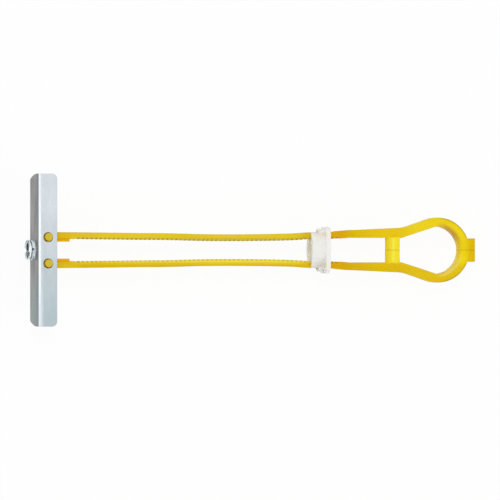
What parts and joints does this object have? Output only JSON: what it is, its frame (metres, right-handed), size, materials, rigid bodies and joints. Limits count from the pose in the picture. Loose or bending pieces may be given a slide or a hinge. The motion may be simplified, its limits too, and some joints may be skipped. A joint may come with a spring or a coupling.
{
  "type": "tilting toggle anchor",
  "caption": "Hollow-wall toggle anchor: a tapped metal channel pinned to two toothed plastic straps that end in a pull ring, with a ratchet cap.",
  "frame": {"origin": "on the axis of the tapped hole, at the inner face of the channel's web", "axes": "+X along the bolt's axis, from the channel to the pull ring; +Y along the channel; +Z across its two flanges"},
  "size_m": [0.1508, 0.05, 0.0134],
  "materials": {
    "zinc_plated_steel": "bright zinc plating",
    "yellow_plastic": "semi-gloss moulded",
    "natural_plastic": "translucent natural moulded"
  },
  "bodies": {
    "upper_strap": {"upper_strap": "yellow_plastic"},
    "channel": {"channel": "zinc_plated_steel"},
    "lower_strap": {"lower_strap": "yellow_plastic"},
    "cap": {"cap": "natural_plastic"}
  },
  "joints": [
    {"name": "channel_tilt", "type": "hinge", "parent": "upper_strap", "child": "channel", "pos_m": [0.0022, 0.0043, 0], "axis": [0, 0, 1], "range_deg": [0, 65], "deforming": ["lower_strap"]},
    {"name": "lower_strap_pivot", "type": "hinge", "parent": "channel", "child": "lower_strap", "pos_m": [0.0022, -0.0043, 0], "axis": [0, 0, 1], "range_deg": [-68.2, 0]},
    {"name": "cap_slide", "type": "slide", "parent": "upper_strap", "child": "cap", "axis": [-1, 0, 0], "range_m": [0, 0.054]}
  ],
  "couplings": [
    {"joint": "lower_strap_pivot", "follows": "channel_tilt", "ratio": -1.048}
  ]
}
